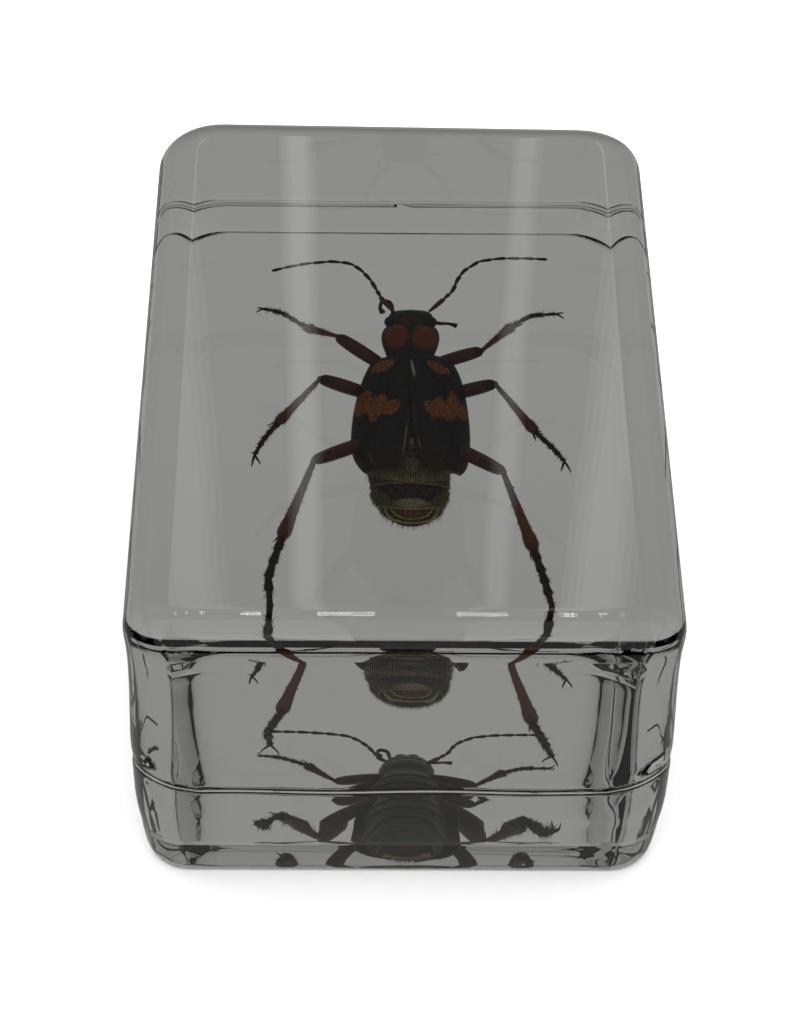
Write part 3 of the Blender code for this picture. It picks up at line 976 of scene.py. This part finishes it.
feelerPaths = {
    "left": [(-0.42, 10.0, 8.75), (-1.1, 11.08, 8.78), (-1.79, 12.81, 8.72), (-2.42, 13.82, 8.66),
             (-3.12, 14.47, 8.6), (-4.33, 14.65, 8.53), (-5.84, 14.55, 8.35), (-7.04, 14.31, 8.18),
             (-8.11, 14.02, 8.0)],
    "right": [(1.8, 10.0, 8.75), (2.58, 10.91, 8.8), (3.35, 11.9, 8.8), (3.62, 12.83, 8.8),
              (4.05, 13.7, 8.8), (5.05, 14.6, 8.8), (6.39, 14.9, 8.77), (8.11, 14.93, 8.74),
              (9.44, 14.86, 8.7)],
}
feelerPlan = {
    "joints": 11,
    "girth": 0.155,
    "firstLength": 1.7,        # of the first two joints, where the others are 1
    "secondLength": 0.6,
    "firstGirth": 1.15,        # the first joint's share of the girth
    "taper": 0.02,             # what each further joint loses of it
    "tip": 0.5,
    "jointShape": {0.03: 0.5, 0.25: 0.74, 0.8: 1.0, 0.95: 0.8},    # share of its length: of its girth
}
palpPaths = {
    "left": [(-0.35, 9.9, 8.2), (-0.91, 11.3, 8.15), (-1.22, 10.75, 8.12), (-1.06, 10.25, 8.1)],
    "right": [(1.7, 9.6, 8.25), (2.35, 9.3, 8.2), (3.06, 9.27, 8.15), (3.55, 9.1, 8.12)],
}
palpGirths = [0.12, 0.15, 0.12, 0.2]


# a point at a share of the way along a list of points
def alongPath(points, share):
    spots = [Vector(point) for point in points]
    steps = [(b - a).length for a, b in zip(spots, spots[1:])]
    left = share * sum(steps)
    for a, b, step in zip(spots, spots[1:], steps):
        if left <= step:
            return a.lerp(b, left / step)
        left -= step
    return spots[-1]


# its colours run along the limb
def limbMaterial(name, colours, roughness=0.3):
    material, tree, shader, place = beetleMaterial(name, roughness)[:4]
    share = addNode(tree, "ShaderNodeAttribute", attribute_name="along").outputs["Fac"]
    tone = addNoise(tree, place, 6.0)
    bar = colourBar(tree, addShare(tree, share, minus(tree, tone, 0.5), 0.12), colours)
    height = addShare(tree, addNoise(tree, place, 16.0), addNoise(tree, place, 5.0), 0.6)
    feed(shader, Base_Color=mixColour(tree, ramp(tree, tone, 0.5, 0.8), bar, (0.01, 0.006, 0.004)),
         Normal=addBump(tree, height, 0.4, 0.04))
    return material


def makeFeeler(word, material):
    plan = feelerPlan
    points = feelerPaths[word]
    lengths = [plan["firstLength"], plan["secondLength"]] + [1.0] * (plan["joints"] - 2)
    whole = sum(lengths)
    path = []
    girths = []
    done = 0.0
    for index, length in enumerate(lengths):
        thick = plan["girth"] * (1.0 - plan["taper"] * index if index else plan["firstGirth"])
        for part, share in plan["jointShape"].items():
            path.append(alongPath(points, (done + length * part) / whole))
            girths.append(thick * share)
        done += length
    girths[-1] *= plan["tip"]
    settle(drawLimb("feeler_" + word, path, girths, 3, 2), material)


feelerHorn = limbMaterial("feelerHorn", [(0.0, (0.1, 0.03, 0.012)), (0.16, (0.075, 0.022, 0.01)),
                                         (0.4, (0.022, 0.01, 0.007)), (1.0, (0.012, 0.008, 0.006))])
palpHorn = limbMaterial("palpHorn", [(0.0, (0.09, 0.03, 0.012)), (0.6, (0.06, 0.02, 0.01)),
                                     (1.0, (0.014, 0.008, 0.006))])
for word in ("left", "right"):
    makeFeeler(word, feelerHorn)
    settle(drawLimb("palp_" + word, palpPaths[word], palpGirths), palpHorn)
print("feelers and palps made")


# hip, knee, ankle, bend of the foot and toe, then the two claw tips
legJoints = {
    "front_left": [(-0.4, 5.3, 7.5), (-3.85, 7.45, 9.4), (-5.75, 8.75, 8.3), (-7.4, 10.15, 8.3),
                   (-8.5, 10.42, 8.3), (-8.9, 10.2, 8.15), (-8.85, 10.6, 8.1)],
    "front_right": [(1.5, 5.7, 7.7), (5.0, 6.4, 9.2), (6.95, 8.7, 8.9), (8.1, 9.6, 9.0),
                    (9.7, 9.72, 9.05), (10.15, 9.4, 8.9), (10.15, 9.9, 8.85)],
    "middle_left": [(-1.2, 3.4, 7.0), (-4.85, 3.7, 9.6), (-7.38, 1.2, 7.2), (-8.2, -0.05, 7.05),
                    (-8.75, -1.1, 6.45), (-8.9, -1.75, 6.0), (-8.4, -1.55, 5.95)],
    "middle_right": [(2.2, 3.4, 7.0), (5.7, 3.35, 9.6), (8.09, 0.58, 7.2), (9.18, -0.79, 7.0),
                     (9.78, -1.5, 6.5), (10.15, -2.1, 6.0), (9.6, -1.95, 5.9)],
    "hind_left": [(-1.0, 0.4, 6.8), (-5.12, -3.9, 11.2), (-6.95, -7.6, 6.5), (-7.7, -10.6, 6.6),
                  (-7.5, -13.4, 7.05), (-8.03, -14.2, 6.85), (-7.0, -14.5, 6.85)],
    "hind_right": [(2.0, 0.3, 6.8), (5.9, -4.7, 11.2), (7.7, -8.2, 5.95), (8.2, -10.3, 5.85),
                   (8.72, -13.3, 6.0), (8.15, -13.75, 5.8), (9.02, -14.2, 5.7)],
}
legPlan = {
    "thighGirth": {"front": 0.43, "middle": 0.44, "hind": 0.43},
    "shinGirth": {"front": 0.35, "middle": 0.36, "hind": 0.43},
    "footGirth": {"front": 0.33, "middle": 0.34, "hind": 0.5},
    "footJoints": 4,
    "spurLength": 0.85,
    # along each stretch, share of its way: share of its girth
    "thigh": {0: 0.6, 0.2: 0.95, 0.5: 1.15, 0.8: 1.1, 0.95: 0.9, 1: 0.55},
    "shin": {0: 0.4, 0.12: 0.46, 0.4: 0.58, 0.75: 0.8, 0.94: 1.04, 1: 0.72},
    "footJoint": {0: 0.42, 0.35: 0.48, 0.85: 0.58, 0.98: 0.46},
    "lastJoint": {0: 0.38, 0.4: 0.36, 0.9: 0.4, 1: 0.3},
    "spur": {0: 0.075, 0.5: 0.06, 1: 0.012},
    "claw": [0.085, 0.07, 0.04, 0.012],
}


# a straight stretch of a leg, shaped as the plan says
def stretch(name, start, end, girth, roundness=3, fineness=5):
    shape = legPlan[name]
    points = [start.lerp(end, way) for way in shape]
    return drawLimb(name, points, [girth * share for share in shape.values()], roundness, fineness)


def makeLeg(word, materials):
    plan = legPlan
    thighHorn, shinHorn, footHorn, skin, clawHorn = materials
    hip, knee, ankle, bend, toe, *claws = [Vector(joint) for joint in legJoints[word]]
    pair = word.split("_")[0]
    girth, footGirth = plan["shinGirth"][pair], plan["footGirth"][pair]
    parts = []

    def add(part, material):
        part.data.materials.append(material)
        parts.append(part)

    add(stretch("thigh", hip, knee, plan["thighGirth"][pair]), thighHorn)
    add(addBall("knee", knee + (knee - hip).normalized() * 0.05, (girth * 0.46,) * 3), skin)
    shinWay = (ankle - knee).normalized()
    add(stretch("shin", knee, ankle, girth), shinHorn)
    for side in (-1, 1):
        off = shinWay.cross(Vector((0, 0, 1))).normalized() * side
        root = ankle - shinWay * 0.12 + off * girth * 0.35
        tip = root + (shinWay + off * 0.35).normalized() * plan["spurLength"] * (0.75 + 0.25 * side)
        add(stretch("spur", root, tip, 1, 1, 3), clawHorn)
    # the foot's joints are small cups, each opening towards the toe
    route = [ankle, ankle.lerp(bend, 0.5), bend, bend.lerp(toe, 0.45)]
    count = plan["footJoints"]
    for index in range(count):
        start, end = alongPath(route, index / count), alongPath(route, (index + 1) / count)
        add(stretch("footJoint", start, end, footGirth, 2, 3), footHorn)
    add(stretch("lastJoint", route[-1], toe, footGirth, 2, 3), footHorn)
    for claw in claws:
        middle = toe.lerp(claw, 0.5) + Vector((0, 0, 0.08)) + (claw - toe).normalized() * 0.05
        tip = claw + Vector((0, 0, -0.12))
        add(drawLimb("claw", [toe, middle, claw, tip], plan["claw"], 1, 4), clawHorn)
    return settle(joinAll("leg_" + word, parts))


legMaterials = [
    limbMaterial("thighHorn", [(0.0, (0.03, 0.01, 0.005)), (0.5, (0.085, 0.024, 0.007)),
                               (0.85, (0.075, 0.02, 0.006)), (1.0, (0.01, 0.006, 0.004))]),
    limbMaterial("shinHorn", [(0.0, (0.012, 0.006, 0.004)), (0.12, (0.09, 0.026, 0.007)),
                              (0.6, (0.14, 0.042, 0.01)), (0.92, (0.11, 0.03, 0.008)),
                              (1.0, (0.01, 0.006, 0.004))]),
    limbMaterial("footHorn", [(0.0, (0.05, 0.016, 0.006)), (1.0, (0.012, 0.007, 0.005))]),
    limbMaterial("jointSkin", [(0.0, (0.09, 0.04, 0.015)), (1.0, (0.07, 0.03, 0.012))], 0.45),
    limbMaterial("clawHorn", [(0.0, (0.03, 0.012, 0.006)), (1.0, (0.01, 0.006, 0.004))]),
]
legs = {word: makeLeg(word, legMaterials) for word in legJoints}
print("legs made")


def makeHairMaterial(name, root, tip):
    material, tree, shader, place = beetleMaterial(name, 0.4)[:4]
    feed(shader, Base_Color=mixColour(tree, addNoise(tree, place, 9.0), root, tip))
    return material


# the flanks behind the wing cases, wider towards the tail
def onFlank(p, n):
    return -6.0 < p.y < -4.3 and abs(p.x - midline(p.y) - tailAside) > 1.0 + 1.1 * (p.y + 5.4)


# where hairs grow: how many, a test on place and normal, shortest, longest, and how far they stand off
hairZones = [
    (1500, lambda p, n: -4.15 < p.y < -3.1 and n.z > 0.2, 0.14, 0.26, 0.25),
    (1300, onFlank, 0.16, 0.34, 0.3),
    (220, lambda p, n: -6.1 < p.y < -4.3 and n.z > 0.2, 0.12, 0.2, 0.2),
    (260, lambda p, n: p.y < -6.0, 0.2, 0.4, 0.5),
    (1500, lambda p, n: n.z < 0 and -6.2 < p.y < 4.0, 0.25, 0.5, 0.45),
]
wingHairZones = [(260, lambda p, n: p.y < -2.6 and n.z > 0.2, 0.14, 0.26, 0.4)]
hairWidth = 0.011
# on each leg
bristlePlan = {"foot": 130, "footWidth": 0.02, "shin": 170, "shinWidth": 0.014}


def abdomenHairs():
    roots = []
    back = Vector((0, -1, 0))
    for piece, zones, stray in ((abdomen, hairZones, 0.25), (foldedWings, wingHairZones, 0.5)):
        for count, test, shortest, longest, stand in zones:
            for place, normal in scatter(piece, count, test):
                off = Vector([random.uniform(-stray, stray) for _ in range(3)])
                length = random.uniform(shortest, longest)
                roots.append((place, back + normal * stand + off, length, hairWidth))
    return roots


def legBristles():
    plan = bristlePlan
    roots = []
    for word, leg in legs.items():
        _, knee, ankle, _, toe, *_ = [Vector(joint) for joint in legJoints[word]]
        toeWay = (toe - ankle).normalized()
        shinWay = (ankle - knee).normalized()
        shin = (ankle - knee).length

        def onFoot(p, n):
            return (p - ankle).dot(toeWay) > 0.1 and (p - toe).dot(toeWay) < -0.1

        def onShin(p, n):
            return 0.5 < (p - knee).dot(shinWay) < shin and abs(n.dot(shinWay)) < 0.7

        for place, normal in scatter(leg, plan["foot"], onFoot):
            roots.append((place, toeWay * 0.8 + normal, random.uniform(0.16, 0.3), plan["footWidth"]))
        for place, normal in scatter(leg, plan["shin"], onShin):
            roots.append((place, shinWay * 1.1 + normal, random.uniform(0.14, 0.26), plan["shinWidth"]))
    return roots


settle(plantHairs("abdomen_hairs", abdomenHairs()),
       makeHairMaterial("goldenHair", (0.16, 0.12, 0.055), (0.42, 0.32, 0.15)))
settle(plantHairs("leg_bristles", legBristles(), 0.0),
       makeHairMaterial("darkBristle", (0.03, 0.014, 0.008), (0.1, 0.05, 0.02)))
print("hairs planted")


lightPlan = {
    # the room's brightness from straight below (0) to straight above (1)
    "room": [(0.0, 0.2), (0.08, 0.26), (0.14, 0.325), (0.3, 0.36), (0.5, 0.42), (0.86, 0.37), (1.0, 0.4)],
    "aim": (0, 0, 0.015),
    "base": 0.02,              # the height that the elevations below are taken from
    # each lamp lights the open floor, or else it only gleams
    "lamps": {
        "overhead": {"place": (0, 0, 0.9), "size": (0.9, 0.9), "glow": 3.0, "lights": "floor"},
        "floorFill": {"place": (0, 0, 0.95), "size": (1.8, 1.8), "glow": 1.7, "lights": "floor"},
        "backGleam": {"place": (0, 0.75, 0.8), "size": (1.4, 0.7), "glow": 0.12},
        "frontGleam": {"place": (0, -0.8, 0.8), "size": (1.6, 1.2), "glow": 0.42},
        "floorGleam": {"place": (0, 0, -0.05), "size": (1.6, 1.6), "glow": 0.33},
        "topGleam": {"place": (0, -0.2, 1.0), "size": (1.4, 0.9), "glow": 0.45},
        "leftGleam": {"place": (-0.95, 0, 0.6), "size": (1.2, 0.6), "glow": 0.3},
        "rightGleam": {"place": (0.95, 0, 0.6), "size": (1.2, 0.6), "glow": 0.3},
    },
}

# slim lamps behind and above, three lines each, whose gleams run along the rounded front edge:
# places hold each lamp's x and width
lampRowPlan = {
    "distance": 0.6,
    "elevation": 66,
    "lines": 3,
    "lineStep": 2.8,           # degrees between lines
    "thick": 0.008,
    "glow": 16.0,
    "places": [(-0.056, 0.0012), (-0.05, 0.0012), (-0.0445, 0.0012), (-0.031, 0.0056), (-0.005, 0.0154),
               (0.0319, 0.014), (0.0552, 0.0045), (0.0645, 0.0015), (0.071, 0.0012)],
}

# tall lamps behind, whose gleams stand as pale streaks in the top face: x, width and glow
streakPlan = {
    "distance": 0.51,
    "elevation": 46.5,
    "tall": 0.22,
    "layers": 4,               # lamps of shrinking width behind each other give a streak its soft edge
    "layerGap": 0.001,         # lamps in one plane would shine as one
    "narrowest": 0.4,          # the last layer's share of the width
    "places": [(-0.046, 0.019, 0.9), (-0.0152, 0.0085, 1.25), (0.0338, 0.0075, 0.9), (0.0605, 0.018, 1.15)],
}


floorPlan = {"size": 1.6, "drop": 0.2}         # in metres, and in mm below the block


def addFloor():
    letGo()
    bpy.ops.mesh.primitive_plane_add(size=floorPlan["size"], location=(0, 0, -floorPlan["drop"] * mm))
    floor = nameNew("floor")
    applyPlace()
    material, tree, shader = newMaterial("paleFloor", 0.9, Specular_IOR_Level=0.2)
    place = addNode(tree, "ShaderNodeTexCoord").outputs["Object"]
    grain = addNoise(tree, place, 900.0)
    feed(shader, Base_Color=mixColour(tree, grain, (0.8, 0.8, 0.8), (0.84, 0.84, 0.84)))
    floor.data.materials.append(material)
    # seen through the resin, the grey room stands in the floor's place, a little darker low down
    floor.visible_glossy = False
    floor.visible_transmission = False


# glow is the lamp's brightness as seen, so its power follows from its size
def addLamp(name, place, size, glow, lights="gleam"):
    aim = (Vector(lightPlan["aim"]) - Vector(place)).to_track_quat("-Z", "Y").to_euler()
    letGo()
    bpy.ops.object.light_add(type="AREA", location=place, rotation=aim)
    lamp = nameNew(name)
    lamp.data.shape = "RECTANGLE"
    lamp.data.size = size[0]
    lamp.data.size_y = size[1]
    lamp.data.energy = math.pi * size[0] * size[1] * glow
    lamp.visible_glossy = lights == "gleam"
    lamp.visible_diffuse = lights == "floor"
    lamp.visible_transmission = False


# a gleaming lamp behind the block, at an elevation in degrees
def hangLamp(name, x, distance, elevation, size, glow):
    height = math.radians(elevation)
    place = (x, distance * math.cos(height), distance * math.sin(height) + lightPlan["base"])
    addLamp(name, place, size, glow)


def addRoom():
    world = bpy.data.worlds.new("softRoom")
    bpy.context.scene.world = world
    world.use_nodes = True
    tree = world.node_tree
    heading = addNode(tree, "ShaderNodeTexCoord").outputs["Generated"]
    level = addNode(tree, "ShaderNodeSeparateXYZ", {"Vector": heading}).outputs["Z"]
    stops = [(place, (bright,) * 3) for place, bright in lightPlan["room"]]
    grey = colourBar(tree, addShare(tree, 0.5, level, 0.5), stops)
    tree.links.new(grey, tree.nodes["Background"].inputs["Color"])
    world.cycles_visibility.glossy = False


def addLights():
    for name, lamp in lightPlan["lamps"].items():
        addLamp(name, **lamp)
    row = lampRowPlan
    for x, wide in row["places"]:
        for line in range(row["lines"]):
            elevation = row["elevation"] + (line - 1) * row["lineStep"]
            hangLamp("lampLine", x, row["distance"], elevation, (wide, row["thick"]), row["glow"])
    streak = streakPlan
    layers = streak["layers"]
    for x, wide, glow in streak["places"]:
        for layer in range(layers):
            share = 1 - (1 - streak["narrowest"]) * layer / (layers - 1)
            hangLamp("streak", x, streak["distance"] + layer * streak["layerGap"], streak["elevation"],
                     (wide * share, streak["tall"]), glow / layers)


addFloor()
addRoom()
addLights()
bpy.context.scene.view_settings.view_transform = "Standard"
letGo()
print("floor and light set")
